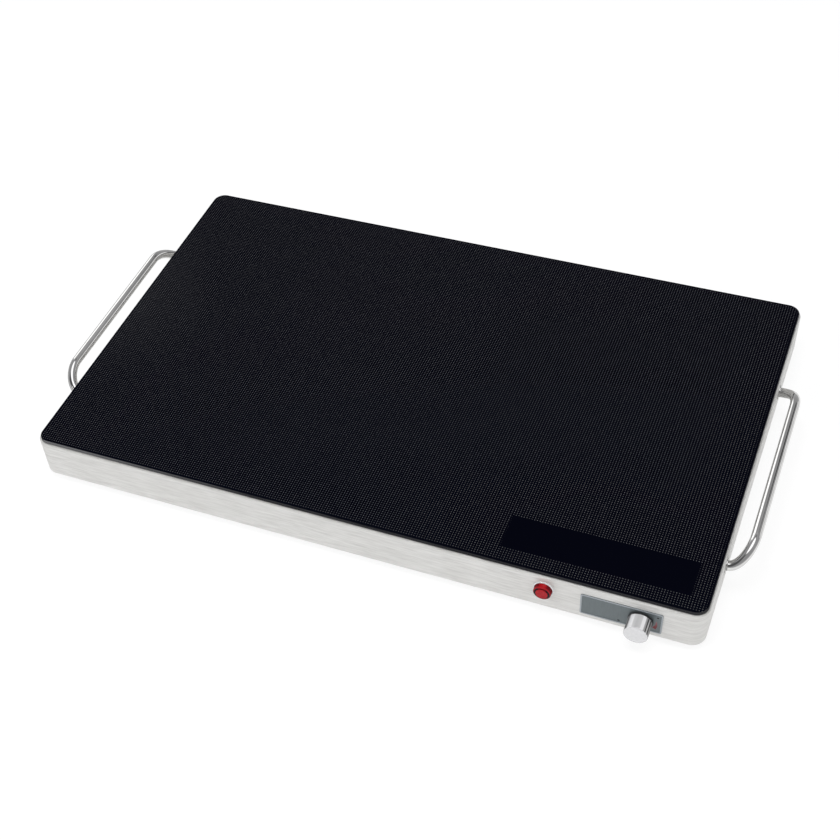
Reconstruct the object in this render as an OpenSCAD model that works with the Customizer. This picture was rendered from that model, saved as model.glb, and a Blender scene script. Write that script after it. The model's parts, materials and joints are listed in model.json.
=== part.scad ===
// Electric food warmer tray: a bevelled glass plate on a folded steel body,
// with two bent bar handles, a rotary thermostat and a pilot light.

/* [Body] */
// Width of the steel body between the two handle walls
body_w = 600; // [520:10:700]
// Depth of the steel body from front to back
body_d = 375; // [340:5:430]
// Height of the steel wall
wall_h = 37.2; // [35:0.1:42]
// Thickness of the body sheet
sheet_t = 0.8; // [0.6:0.1:1]
// Plan radius of the body corners
corner_r = 12.5; // [11:0.5:18]
// Outer radius of the folded edges
bend_r = 1.2; // [1.1:0.1:2]
// Width of the flange under the glass
flange_w = 16; // [14:0.5:20]
// Width of the lower return lip
return_w = 14; // [13:0.5:18]

/* [Glass] */
// Thickness of the glass plate
glass_t = 3; // [3:0.5:6]
// Steel left showing outside the glass
glass_rim = 1.6; // [1:0.1:3]
// Size of the bevel along the top edge
glass_bevel = 0.6; // [0.4:0.1:1.2]
// Thickness of the seal under the glass
seal_t = 0.3; // [0.2:0.1:1]
// Width of the seal
seal_w = 8; // [5:0.5:10]
// Setback of the seal from the glass edge
seal_back = 2.5; // [2:0.5:4]

/* [Handles] */
// Diameter of the handle bar
bar_d = 8.5; // [7:0.1:10]
// Distance between the two legs of a handle
handle_span = 206.5; // [120:0.5:240]
// Offset of the right handle from the middle of the depth
handle_right_y = -15.8; // [-20:0.2:20]
// Offset of the left handle from the middle of the depth
handle_left_y = -5; // [-20:0.2:20]
// Height of the legs above the lower edge of the wall
handle_up = 24.2; // [20:0.1:26]
// Upward tilt of the handle
handle_tilt = 43.5; // [25:0.5:50]
// Radius of the upward bend at the axis of the bar
tilt_r = 6; // [5.5:0.5:8]
// Radius of the corner bends at the axis of the bar
handle_r = 16.3; // [13:0.1:20]
// Diameter of the threaded end of a leg
stud_d = 6; // [5:0.5:6.5]
// Diameter of the handle washers
washer_d = 13; // [12:0.5:15]
// Thickness of the handle washers
washer_t = 0.8; // [0.6:0.1:1.6]

/* [Controls] */
// Distance of the knob axis from the right wall
knob_side = 50.6; // [48:0.2:58]
// Height of the knob axis above the lower edge of the wall
knob_up = 16.6; // [15.4:0.2:17.8]
// Diameter of the knob at its skirt
knob_skirt_d = 20.4; // [20.4:0.2:23]
// Diameter of the knob at the foot of its grip
knob_foot_d = 19.6; // [19.2:0.1:19.6]
// Diameter of the knob at its front
knob_front_d = 19.8; // [19:0.1:20.2]
// Length of the knob
knob_len = 15; // [13.5:0.5:20]
// Width of the control plate
plate_w = 66; // [60:1:72]
// Height of the control plate
plate_h = 24; // [23:0.5:26]
// Thickness of the control plate
plate_t = 0.6; // [0.5:0.1:1]
// Distance of the control plate from the right wall
plate_side = 33.3; // [30:0.1:36]
// Height of the control plate above the lower edge of the wall
plate_up = 5.3; // [4.6:0.1:6.3]
// Width of the raised border of the control plate
border_w = 1.2; // [0.8:0.1:2]
// Distance of the pilot light axis from the right wall
pilot_side = 129.7; // [115:0.1:150]
// Height of the pilot light axis above the lower edge of the wall
pilot_up = 22.7; // [16:0.1:23]
// Diameter of the pilot light bezel
bezel_d = 16.8; // [16:0.2:20]
// Diameter of the pilot lens at its foot
lens_d = 15.4; // [13.4:0.1:15.6]
// Diameter of the flat front of the pilot lens
lens_face_d = 11.6; // [9:0.1:13]
// Height of the pilot lens above its bezel
lens_h = 5; // [3:0.1:8]

/* [Base] */
// Height of the lower edge of the wall above the table
foot_lift = 7.3; // [7:0.1:12]
// Thickness of the base plate
base_t = 0.8; // [0.6:0.1:1.2]
// Setback of the base plate from the outside of the wall
base_back = 3.5; // [3:0.5:5]
// Setback of the feet from the outside of the walls
foot_back = 45; // [30:1:60]
// Diameter of the feet at the base plate
foot_d = 26; // [22:1:32]
// Number of slots in each vent
vent_n = 9; // [3:1:12]
// Length of a vent slot
vent_l = 46; // [30:1:60]

/* [Heating] */
// Thickness of the heat spreading plate under the glass
spread_t = 0.8; // [0.5:0.1:1.2]
// Diameter of the heating cord
cord_d = 2.6; // [2:0.1:3]
// Distance between the runs of the heating cord
cord_pitch = 23; // [18:1:30]
// Number of runs of the heating cord
cord_n = 12; // [6:2:12]
// Thickness of the foil under the heating cord
foil_t = 0.2; // [0.1:0.1:0.4]
// Thickness of the insulation
mat_t = 7; // [5:0.5:8]
// Thickness of the tray under the insulation
tray_t = 0.6; // [0.5:0.1:1]
// Height of the upturned edge of the tray
tray_edge = 5; // [3:0.5:6]
// Width of the cold bay behind the controls
bay_w = 170; // [160:5:190]
// Depth of the cold bay behind the controls
bay_d = 44; // [40:1:50]

/* [Wiring] */
// Distance of the cable gland axis from the right wall
gland_side = 70; // [60:1:100]
// Height of the cable gland axis above the lower edge of the wall
gland_up = 16.7; // [15:0.1:19]
// Diameter of the hole through the cable gland
gland_bore_d = 7.2; // [6:0.1:8]
// Diameter of the internal leads
lead_d = 2; // [1.6:0.1:2.4]

/* [Hidden] */
$fn = 48;

// Clearances
fit = 0.05;    // a shaft in its running bore, on the radius
slip = 0.1;    // a piece passed through a hole, on the radius
seat = 0.1;    // a round piece lying on a flat one
air = 0.5;     // the knob in front of its plate
lap = 0.8;     // overlap of two stretches of one folded sheet
big = 400;     // longer than any cut has to be

// Levels
wall_z = foot_lift;
rim_z = wall_z + wall_h;
glass_z = rim_z + seal_t;
base_z = wall_z - base_t;
spread_z = glass_z - spread_t;
cord_z = spread_z - seat - cord_d / 2;
foil_z = cord_z - cord_d / 2 - seat - foil_t;
mat_z = foil_z - mat_t;
tray_z = mat_z - tray_t;
leg_z = wall_z + handle_up;
knob_z = wall_z + knob_up;
pilot_z = wall_z + pilot_up;
gland_z = wall_z + gland_up;

// Plan
open_w = body_w - 2 * flange_w;
open_d = body_d - 2 * flange_w;
open_r = 6;
glass_w = body_w - 2 * glass_rim;
glass_d = body_d - 2 * glass_rim;
glass_r = corner_r - glass_rim;
heat_gap = 3;
heat_w = open_w - 2 * heat_gap;
heat_d = open_d - 2 * heat_gap;
heat_r = open_r - 2;
knob_x = body_w / 2 - knob_side;
pilot_x = body_w / 2 - pilot_side;
gland_x = body_w / 2 - gland_side;
front_y = -body_d / 2;
plate_x = body_w / 2 - plate_side - plate_w / 2;
plate_z = wall_z + plate_up + plate_h / 2;
foot_x = body_w / 2 - foot_back;
foot_y = body_d / 2 - foot_back;

// Fasteners
washer_in_t = 1.2;
nut_h = 5;
nut_flat = 10;
stud_in = sheet_t + washer_in_t + nut_h + 1.5;
handle_ys = [handle_right_y, handle_left_y];
base_screw_d = 2.9;
base_screw_back = 9;
base_screws_x = [-0.34, 0, 0.34];
base_screws_y = [-0.26, 0.26];
foot_screw_d = 4;
foot_nut_h = 3.2;
foot_nut_flat = 7;
foot_recess = 3.8;
foot_recess_r = 5;

// Knob, thermostat and pilot
knob_back = plate_t + air;
skirt_t = 1.3;
knob_edge = 1.2;
knob_recess = 3.4;
knob_recess_d = 17.2;
hub_d = 9.6;
hub_depth = 8.4;
rib_t = 1.2;
pointer_a = 29;
notch_d = 1.1;
notch_out = 0.2;
shaft_d = 6;
shaft_flat = 2.1;
shaft_in = 12;
bush_d = 9.8;
panel_nut_flat = 14;
panel_nut_h = 2.2;
bush_len = sheet_t + plate_t + panel_nut_h + 0.5;
thermo_w = 32;
thermo_h = 22;
thermo_len = 19;
thermo_floor = 2;
blade_w = 6.3;
blade_t = 0.8;
blade_l = 8;
blade_x = 10;
bezel_t = 1;
barrel_d = 12.6;
barrel_bore_d = 11;
barrel_len = 11;
lamp_len = 20;
pilot_nut_d = 18;
pilot_nut_t = 2;

// Tray brackets: side of the body (0 right, 1 back, 2 left, 3 front) and place along it
bracket_t = 1;
bracket_w = 24;
bracket_reach = 12;
bracket_hole_x = -bracket_reach / 2 - heat_gap - 1;
screw_tip = 1.4;
fuse_arm = 14;
BRACKETS = [[0, 0.1], [1, -0.3], [1, 0.25], [2, 0.1], [3, -0.3], [3, 0.06]];

// Cable gland
gland_stem_d = gland_bore_d + 4.4;
gland_head_d = 18;
gland_head_t = 3;
gland_stem = 9;
gland_nut_flat = 16;
gland_nut_h = 4;

// Terminal block, earth and leads
block_x = gland_x - 6;
block_y = body_d / 2 - 56;
pole_pitch = 12;
pole_w = 8.6;
block_w = 3 * pole_pitch;
block_dp = 20;
block_h = 14;
pole_z = wall_z + 8;
insert_d = 4.8;
insert_l = 16;
earth_x = block_x - 50;
earth_y = block_y + 4;
tag_z = wall_z + foot_nut_h;
tag_reach = 9;
fuse_x = 150;
fuse_y = -60;
fuse_d = 4.4;
fuse_l = 26;
clip_t = 0.8;
bead_r = 9;
bead_h = 3;

// Ends of the heating cord, which turn down through the tray
cord_back_x = 22;
cord_back_y = 18;
cord_run = heat_w / 2 - cord_back_x;
cord_y = heat_d / 2 - cord_back_y;
tail_r = 5;
tail_x = cord_run + tail_r;
tail_hole_d = 2 * tail_r - 0.4;
grommet_d = 13;
sleeve_d = 6.4;
sleeve_l = 14;
sleeve_down = 17.5;
sleeve_z = tray_z - sleeve_down;
joint_z = sleeve_z + sleeve_l / 2;

// Leads
lead_z = wall_z + 2.4;
lead_x = knob_x - 24;
lane = lead_d + 0.5;
pair = lead_d / 2 + 0.05;
thermo_back = front_y + sheet_t + thermo_floor + thermo_len + blade_l + seat;
pilot_back = front_y + lamp_len + 6 + seat;
pole_y = block_y - insert_l / 2 + 1;
fuse_z = tray_z - seat - fuse_d / 2;
tail_y = [cord_y, cord_y - (cord_n - 1) * cord_pitch];

module round_rect(w, d, r) {
  square([w - 2 * r, d], center = true);
  square([w, d - 2 * r], center = true);
  for (x = [-1, 1], y = [-1, 1])
    translate([x * (w / 2 - r), y * (d / 2 - r)])
      circle(r);
}

// Carries a profile round a rounded rectangle: the profile's x runs outward from
// the centre of the corner radius and its y runs up.
module sweep_round_rect(w, d, r) {
  for (q = [0:3]) {
    run = q % 2 == 0 ? d - 2 * r : w - 2 * r;
    out = q % 2 == 0 ? w / 2 - r : d / 2 - r;
    rotate([0, 0, 90 * q])
      translate([out, run / 2, 0]) {
        rotate([90, 0, 0])
          linear_extrude(height = run)
            children();
        rotate_extrude(angle = 90)
          children();
      }
  }
}

module quarter_ring(r, t) {
  intersection() {
    difference() {
      circle(r);
      circle(r - t);
    }
    square(r);
  }
}

// Turns a piece so that its z axis leaves the front wall
module at_front(x, z) {
  translate([x, front_y, z])
    rotate([90, 0, 0])
      children();
}

// Turns a piece so that its z axis leaves the rear wall
module at_rear(x, z) {
  translate([x, -front_y, z])
    rotate([-90, 0, 0])
      children();
}

module hex_nut(flat, h, bore) {
  difference() {
    cylinder(d = flat / cos(30), h = h, $fn = 6);
    translate([0, 0, -1])
      cylinder(d = bore, h = h + 2);
  }
}

module ring(d, bore, h) {
  difference() {
    cylinder(d = d, h = h);
    translate([0, 0, -1])
      cylinder(d = bore, h = h + 2);
  }
}

// Pan head screw, its head below z = 0 and its shank above
module pan_screw(d, l, head_d, head_h) {
  dome = [for (a = [0:15:90]) [head_d / 2 * cos(a), -head_h * (0.35 + 0.65 * sin(a))]];
  difference() {
    union() {
      cylinder(d = d, h = l);
      rotate_extrude()
        polygon(concat([[0, 0], [head_d / 2, 0]], dome));
    }
    for (a = [0, 90])
      rotate([0, 0, a])
        translate([-head_d * 0.28, -d * 0.1, -head_h - 1])
          cube([head_d * 0.56, d * 0.2, 1 + head_h * 0.55]);
  }
}

// A rounded bead pressed upward out of a flat sheet whose top is at z = 0
module bead_form(l, r, t) {
  intersection() {
    translate([0, 0, bead_h - r]) {
      rotate([0, 90, 0])
        cylinder(r = r - t, h = l, center = true);
      for (x = [-1, 1])
        translate([x * l / 2, 0, 0])
          sphere(r - t);
    }
    translate([-l, -big / 2, -10])
      cube([2 * l, big, 10 + bead_h + 1]);
  }
}

module glass_top() {
  b = glass_bevel;
  foot = 0.3;
  color([0.03, 0.03, 0.035])
    translate([0, 0, glass_z]) {
      sweep_round_rect(glass_w, glass_d, glass_r)
        polygon([[0, 0], [glass_r - foot, 0], [glass_r, foot], [glass_r, glass_t - b],
          [glass_r - b, glass_t], [0, glass_t]]);
      linear_extrude(height = glass_t)
        square([glass_w - 2 * glass_r, glass_d - 2 * glass_r], center = true);
    }
}

module glass_seal() {
  r = glass_r - seal_back;
  color([0.08, 0.08, 0.08])
    translate([0, 0, rim_z])
      linear_extrude(height = seal_t)
        difference() {
          round_rect(glass_w - 2 * seal_back, glass_d - 2 * seal_back, r);
          round_rect(glass_w - 2 * seal_back - 2 * seal_w, glass_d - 2 * seal_back - 2 * seal_w, 2);
        }
}

module wall_profile() {
  translate([corner_r - sheet_t, bend_r])
    square([sheet_t, wall_h - 2 * bend_r]);
  for (m = [0, 1])
    translate([corner_r - bend_r, m * wall_h])
      mirror([0, m]) {
        translate([0, bend_r])
          mirror([0, 1])
            quarter_ring(bend_r, sheet_t);
        translate([-lap, 0])
          square([lap, sheet_t]);
      }
}

module sheet_ring(in_w, in_d, in_r) {
  back = bend_r + lap / 2;
  linear_extrude(height = sheet_t)
    difference() {
      round_rect(body_w - 2 * back, body_d - 2 * back, corner_r - back);
      round_rect(in_w, in_d, in_r);
    }
}

module wall_holes() {
  leg_places()
    cylinder(d = stud_d + 2 * slip, h = 8, center = true);
  at_front(knob_x, knob_z)
    cylinder(d = bush_d + 2 * slip, h = 8, center = true);
  at_front(pilot_x, pilot_z)
    cylinder(d = barrel_d + 2 * slip, h = 8, center = true);
  at_rear(gland_x, gland_z)
    cylinder(d = gland_stem_d + 2 * slip, h = 8, center = true);
}

module housing() {
  color([0.78, 0.78, 0.77])
    difference() {
      translate([0, 0, wall_z]) {
        sweep_round_rect(body_w, body_d, corner_r)
          wall_profile();
        translate([0, 0, wall_h - sheet_t])
          sheet_ring(open_w, open_d, open_r);
        sheet_ring(body_w - 2 * return_w, body_d - 2 * return_w, 4);
      }
      wall_holes();
      base_screw_places()
        translate([0, 0, wall_z - 2])
          cylinder(d = base_screw_d + 2 * fit, h = 4);
    }
}

module base_screw_places() {
  for (s = [-1, 1]) {
    for (k = base_screws_x)
      translate([k * body_w, s * (body_d / 2 - base_screw_back), 0])
        children();
    for (k = base_screws_y)
      translate([s * (body_w / 2 - base_screw_back), k * body_d, 0])
        children();
  }
}

module foot_places() {
  for (x = [-1, 1], y = [-1, 1])
    translate([x * foot_x, y * foot_y, 0])
      children();
}

module vent_slots() {
  slot_w = 3;
  step = 7;
  for (s = [-1, 1], k = [0:vent_n - 1])
    translate([s * body_w * 0.22 + (k - (vent_n - 1) / 2) * step, 0])
      round_rect(slot_w, vent_l, slot_w / 2 - 0.01);
}

module base_plate() {
  bead_y = body_d * 0.22;
  color([0.62, 0.63, 0.64])
    difference() {
      union() {
        translate([0, 0, base_z])
          linear_extrude(height = base_t)
            difference() {
              round_rect(body_w - 2 * base_back, body_d - 2 * base_back, corner_r - base_back);
              vent_slots();
            }
        for (s = [-1, 1])
          translate([0, s * bead_y, wall_z])
            bead_body(body_w * 0.62, base_t);
      }
      for (s = [-1, 1])
        translate([0, s * bead_y, wall_z])
          bead_form(body_w * 0.62, bead_r, base_t);
      base_screw_places()
        translate([0, 0, base_z - 1])
          cylinder(d = base_screw_d + 2 * fit, h = base_t + 2);
      foot_places()
        translate([0, 0, base_z - 1])
          cylinder(d = foot_screw_d + 2 * slip, h = base_t + 2);
      translate([block_x + pole_pitch / 2, block_y, base_z - 1])
        cylinder(d = base_screw_d + 2 * fit, h = base_t + 2);
      translate([earth_x, earth_y, base_z - 1])
        cylinder(d = foot_screw_d + 2 * slip, h = base_t + 2);
      clip_places()
        translate([0, 0, base_z - 1])
          cylinder(d = base_screw_d + 2 * fit, h = base_t + 2);
    }
}

// The solid of a bead above the underside of its sheet
module bead_body(l, t) {
  intersection() {
    bead_form(l, bead_r, 0);
    translate([-l, -big / 2, -t])
      cube([2 * l, big, t + bead_h + 1]);
  }
}

module base_screws() {
  color([0.75, 0.75, 0.76])
    base_screw_places()
      translate([0, 0, base_z])
        pan_screw(base_screw_d, base_t + sheet_t + 2, 5.6, 2);
}

module feet() {
  h = base_z;
  r = foot_d / 2;
  color([0.09, 0.09, 0.09])
    foot_places()
      rotate_extrude()
        polygon([[foot_recess_r, 0], [r - 2.6, 0], [r - 1.8, 0.8], [r, h - 1.2], [r, h],
          [foot_screw_d / 2 + slip, h], [foot_screw_d / 2 + slip, foot_recess],
          [foot_recess_r, foot_recess]]);
}

module foot_screws() {
  color([0.75, 0.75, 0.76])
    foot_places()
      translate([0, 0, foot_recess])
        pan_screw(foot_screw_d, base_z - foot_recess + base_t + foot_nut_h + 0.8, 8, 2.6);
}

module foot_nuts() {
  color([0.7, 0.7, 0.72])
    foot_places()
      translate([0, 0, wall_z])
        hex_nut(foot_nut_flat, foot_nut_h, foot_screw_d + 2 * fit);
}

// One handle with its wall at x = 0 and the axes of its legs at z = 0
module handle_form() {
  half = handle_span / 2;
  root = 1;
  for (y = [-half, half])
    translate([-stud_in, y, 0])
      rotate([0, 90, 0])
        cylinder(d = stud_d, h = stud_in + washer_t + root);
  translate([washer_t, 0, tilt_r])
    rotate([0, -handle_tilt, 0]) {
      for (m = [0, 1])
        mirror([0, m, 0]) {
          translate([0, half, 0])
            rotate([0, 90, 0])
              rotate([90, 0, 0])
                rotate_extrude(angle = handle_tilt, start = -handle_tilt)
                  translate([tilt_r, 0])
                    circle(d = bar_d);
          translate([0, half - handle_r, -tilt_r])
            rotate_extrude(angle = 90)
              translate([handle_r, 0])
                circle(d = bar_d);
        }
      translate([handle_r, half - handle_r, -tilt_r])
        rotate([90, 0, 0])
          cylinder(d = bar_d, h = 2 * (half - handle_r));
    }
}

module handle_right() {
  color([0.8, 0.8, 0.82])
    translate([body_w / 2, handle_right_y, leg_z])
      handle_form();
}

module handle_left() {
  color([0.8, 0.8, 0.82])
    translate([-body_w / 2, handle_left_y, leg_z])
      mirror([1, 0, 0])
        handle_form();
}

// Places each leg with z pointing away from the outside of the wall
module leg_places() {
  for (s = [0, 1], y = [-1, 1])
    mirror([s, 0, 0])
      translate([body_w / 2, handle_ys[s] + y * handle_span / 2, leg_z])
        rotate([0, 90, 0])
          children();
}

module handle_washers() {
  color([0.7, 0.7, 0.72])
    leg_places()
      ring(washer_d, stud_d + 2 * slip, washer_t);
}

module handle_inner_washers() {
  color([0.7, 0.7, 0.72])
    leg_places()
      translate([0, 0, -sheet_t - washer_in_t])
        ring(washer_d - 1, stud_d + 2 * slip, washer_in_t);
}

module handle_nuts() {
  color([0.7, 0.7, 0.72])
    leg_places()
      translate([0, 0, -sheet_t - washer_in_t - nut_h])
        hex_nut(nut_flat, nut_h, stud_d + 2 * fit);
}

module control_plate() {
  field = 0.25;
  r = 1.8;
  color([0.48, 0.51, 0.52])
    difference() {
      at_front(plate_x, plate_z)
        difference() {
          linear_extrude(height = plate_t)
            round_rect(plate_w, plate_h, r);
          translate([0, 0, plate_t - field])
            linear_extrude(height = 1)
              round_rect(plate_w - 2 * border_w, plate_h - 2 * border_w, r - 1);
        }
      at_front(knob_x, knob_z)
        cylinder(d = bush_d + 2 * slip, h = 8, center = true);
    }
}

module shaft_profile(grow) {
  difference() {
    circle(shaft_d / 2 + grow);
    translate([-shaft_d, shaft_flat + grow])
      square([2 * shaft_d, shaft_d]);
  }
}

module knob() {
  skirt_r = knob_skirt_d / 2;
  foot_r = knob_foot_d / 2;
  front_r = knob_front_d / 2;
  e = knob_edge;
  edge = [for (a = [0:15:90]) [front_r - e + e * cos(a), knob_len - e + e * sin(a)]];
  hub_z = knob_recess + hub_depth;
  color([0.85, 0.85, 0.87])
    at_front(knob_x, knob_z)
      translate([0, 0, knob_back])
        difference() {
          rotate_extrude()
            polygon(concat([[0, 0], [skirt_r, 0], [skirt_r, skirt_t - 0.4],
              [skirt_r - 0.4, skirt_t], [foot_r, skirt_t]], edge, [[0, knob_len]]));
          translate([0, 0, -1])
            cylinder(d = knob_recess_d, h = 1 + knob_recess);
          difference() {
            translate([0, 0, knob_recess - 1])
              cylinder(d = knob_recess_d - 1, h = hub_depth);
            translate([0, 0, knob_recess - 2])
              cylinder(d = hub_d, h = hub_depth + 3);
            for (a = [0, 90])
              rotate([0, 0, a])
                translate([-big / 2, -rib_t / 2, knob_recess - 2])
                  cube([big, rib_t, hub_depth + 3]);
          }
          translate([0, 0, knob_recess - 1])
            linear_extrude(height = hub_z - knob_recess + 1)
              shaft_profile(fit);
          rotate([0, 0, pointer_a])
            translate([skirt_r + notch_out, 0, -1])
              cylinder(d = notch_d, h = skirt_t + 2, $fn = 24);
        }
}

module thermostat_shaft() {
  tip = knob_back + knob_recess + hub_depth - 0.6;
  flat_from = knob_back + knob_recess - 0.4;
  color([0.72, 0.6, 0.35])
    at_front(knob_x, knob_z) {
      translate([0, 0, -shaft_in])
        cylinder(d = shaft_d, h = shaft_in + flat_from);
      translate([0, 0, flat_from])
        linear_extrude(height = tip - flat_from)
          shaft_profile(0);
    }
}

module thermostat_body() {
  case_z = -sheet_t;
  color([0.86, 0.85, 0.8])
    at_front(knob_x, knob_z)
      difference() {
        union() {
          translate([0, 0, case_z])
            cylinder(d = bush_d, h = bush_len);
          translate([0, 0, case_z - thermo_floor])
            linear_extrude(height = thermo_floor)
              round_rect(thermo_w + 4, thermo_h, 3);
          translate([0, 0, case_z - thermo_floor - thermo_len])
            linear_extrude(height = thermo_len)
              round_rect(thermo_w, thermo_h - 2, 2);
          for (x = [-blade_x, blade_x])
            translate([x - blade_t / 2, -blade_w / 2, case_z - thermo_floor - thermo_len - blade_l])
              cube([blade_t, blade_w, blade_l + 1]);
        }
        translate([0, 0, -shaft_in - 1])
          cylinder(d = shaft_d + 2 * fit, h = big);
        for (s = [-1, 1])
          translate([s * thermo_w / 2, 0, case_z - thermo_floor - thermo_len / 2])
            cube([3, thermo_h - 8, thermo_len - 8], center = true);
      }
}

module thermostat_nut() {
  color([0.72, 0.6, 0.35])
    at_front(knob_x, knob_z)
      translate([0, 0, plate_t - 0.25])
        hex_nut(panel_nut_flat, panel_nut_h, bush_d + 2 * fit);
}

module pilot_bezel() {
  r = bezel_d / 2;
  color([0.78, 0.8, 0.8])
    at_front(pilot_x, pilot_z)
      rotate_extrude()
        polygon([[barrel_bore_d / 2, -barrel_len], [barrel_d / 2, -barrel_len], [barrel_d / 2, 0],
          [r, 0], [r, bezel_t - 0.5], [r - 0.5, bezel_t], [barrel_bore_d / 2, bezel_t]]);
}

module pilot_lens() {
  r = lens_d / 2;
  f = lens_face_d / 2;
  stem = barrel_bore_d / 2 - slip;
  color([0.75, 0.06, 0.07, 0.85])
    at_front(pilot_x, pilot_z)
      rotate_extrude()
        polygon([[0, -6], [stem - 1.2, -6], [stem, -5], [stem, bezel_t], [r, bezel_t],
          [r, bezel_t + 0.7], [f + 0.5, bezel_t + lens_h - 0.3], [f, bezel_t + lens_h],
          [0, bezel_t + lens_h]]);
}

module pilot_body() {
  color([0.12, 0.12, 0.12])
    at_front(pilot_x, pilot_z) {
      translate([0, 0, -lamp_len])
        cylinder(d = barrel_bore_d - 2 * slip, h = lamp_len - 6 - slip);
      translate([0, 0, -lamp_len])
        cylinder(d = barrel_d - 0.4, h = lamp_len - barrel_len - slip);
      for (x = [-2.5, 2.5])
        translate([x - 0.25, -1.4, -lamp_len - 6])
          cube([0.5, 2.8, 7]);
    }
}

module pilot_nut() {
  color([0.2, 0.2, 0.2])
    at_front(pilot_x, pilot_z)
      translate([0, 0, -sheet_t - pilot_nut_t])
        difference() {
          ring(pilot_nut_d, barrel_d + 2 * fit, pilot_nut_t);
          for (a = [0:45:315])
            rotate([0, 0, a])
              translate([pilot_nut_d / 2, 0, -1])
                cylinder(r = 1, h = pilot_nut_t + 2, $fn = 16);
        }
}

// Plan of what lies under the glass, clear of the cold bay behind the controls
module heat_plan(inset) {
  difference() {
    round_rect(heat_w - 2 * inset, heat_d - 2 * inset, heat_r);
    translate([heat_w / 2 - bay_w - inset, -heat_d / 2 - 1])
      square([bay_w + inset + 1, bay_d + inset + 1]);
  }
}

module spread_plate() {
  color([0.75, 0.76, 0.78])
    translate([0, 0, spread_z])
      linear_extrude(height = spread_t)
        heat_plan(0);
}

module tail_places() {
  for (k = [0, cord_n - 1])
    translate([tail_x, cord_y - k * cord_pitch, 0])
      children();
}

module heating_cord() {
  color([0.8, 0.35, 0.12]) {
    for (k = [0:cord_n - 1])
      translate([0, cord_y - k * cord_pitch, cord_z]) {
        translate([-cord_run, 0, 0])
          rotate([0, 90, 0])
            cylinder(d = cord_d, h = 2 * cord_run);
        side = k % 2 == 0 ? -1 : 1;
        if (k < cord_n - 1)
          translate([side * cord_run, -cord_pitch / 2, 0])
            rotate([0, 0, -side * 90])
              rotate_extrude(angle = 180)
                translate([cord_pitch / 2, 0])
                  circle(d = cord_d);
      }
    tail_places() {
      translate([-tail_r, 0, cord_z - tail_r])
        rotate([90, 0, 0])
          rotate_extrude(angle = 90)
            translate([tail_r, 0])
              circle(d = cord_d);
      translate([0, 0, joint_z + 1])
        cylinder(d = cord_d, h = cord_z - tail_r - joint_z - 1);
    }
  }
}

module heater_foil() {
  color([0.8, 0.8, 0.8])
    translate([0, 0, foil_z])
      linear_extrude(height = foil_t)
        difference() {
          heat_plan(2);
          tail_places()
            circle(d = tail_hole_d);
        }
}

// Places the screws that hold the tray and the fuse clip
module tray_screw_places() {
  bracket_places()
    translate([bracket_hole_x, 0, tray_z - bracket_t])
      children();
}

module insulation() {
  tip_d = base_screw_d + 2;
  color([0.9, 0.89, 0.84])
    difference() {
      translate([0, 0, mat_z])
        linear_extrude(height = mat_t)
          difference() {
            heat_plan(tray_t + 0.4);
            tail_places()
              circle(d = grommet_d);
          }
      tray_screw_places()
        cylinder(d = tip_d, h = 2 * screw_tip + bracket_t + tray_t);
      translate([fuse_x + fuse_arm, fuse_y, tray_z])
        cylinder(d = tip_d, h = 2 * screw_tip + tray_t);
    }
}

module cord_grommets() {
  lip = 1.2;
  color([0.1, 0.1, 0.1])
    tail_places()
      translate([0, 0, tray_z - lip])
        difference() {
          union() {
            cylinder(d = grommet_d, h = lip);
            cylinder(d = tail_hole_d - 2 * slip, h = lip + tray_t + lip);
          }
          translate([0, 0, -1])
            cylinder(d = cord_d + 2 * slip, h = 9);
        }
}

module tray() {
  color([0.68, 0.69, 0.7])
    difference() {
      translate([0, 0, tray_z])
        linear_extrude(height = tray_t + tray_edge)
          heat_plan(0);
      translate([0, 0, tray_z + tray_t])
        linear_extrude(height = tray_edge + 1)
          heat_plan(tray_t);
      tray_screw_places()
        cylinder(d = base_screw_d + 2 * fit, h = bracket_t + tray_t + 1);
      translate([fuse_x + fuse_arm, fuse_y, tray_z - 1])
        cylinder(d = base_screw_d + 2 * fit, h = tray_t + 2);
      tail_places()
        translate([0, 0, tray_z - 1])
          cylinder(d = tail_hole_d, h = tray_t + 2);
    }
}

// Places a bracket with x pointing outward from the edge of the opening
module bracket_places() {
  for (b = BRACKETS) {
    along = b[0] % 2 == 0 ? body_d * b[1] : -body_w * b[1];
    out = b[0] % 2 == 0 ? open_w / 2 : open_d / 2;
    rotate([0, 0, 90 * b[0]])
      translate([out, b[0] == 2 || b[0] == 3 ? -along : along, 0])
        children();
  }
}

module tray_brackets() {
  in = bracket_reach + heat_gap + 1;
  top = rim_z - sheet_t;
  head = flange_w - sheet_t - 2;
  color([0.6, 0.61, 0.62])
    bracket_places()
      difference() {
        rotate([90, 0, 0])
          translate([0, 0, -bracket_w / 2])
            linear_extrude(height = bracket_w) {
              translate([-in, tray_z - bracket_t])
                square([in + bracket_t, bracket_t]);
              translate([0, tray_z - bracket_t])
                square([bracket_t, top - tray_z + bracket_t]);
              translate([0, top - bracket_t])
                square([head, bracket_t]);
            }
        translate([bracket_hole_x, 0, tray_z - bracket_t - 1])
          cylinder(d = base_screw_d + 2 * fit, h = bracket_t + 2);
      }
}

module tray_screws() {
  color([0.75, 0.75, 0.76])
    tray_screw_places()
      pan_screw(base_screw_d, bracket_t + tray_t + screw_tip, 5.6, 2);
}

module thermal_fuse() {
  color([0.85, 0.85, 0.88])
    translate([fuse_x, fuse_y, tray_z - seat - fuse_d / 2])
      rotate([90, 0, 0])
        translate([0, 0, -fuse_l / 2])
          cylinder(d = fuse_d, h = fuse_l);
}

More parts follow.
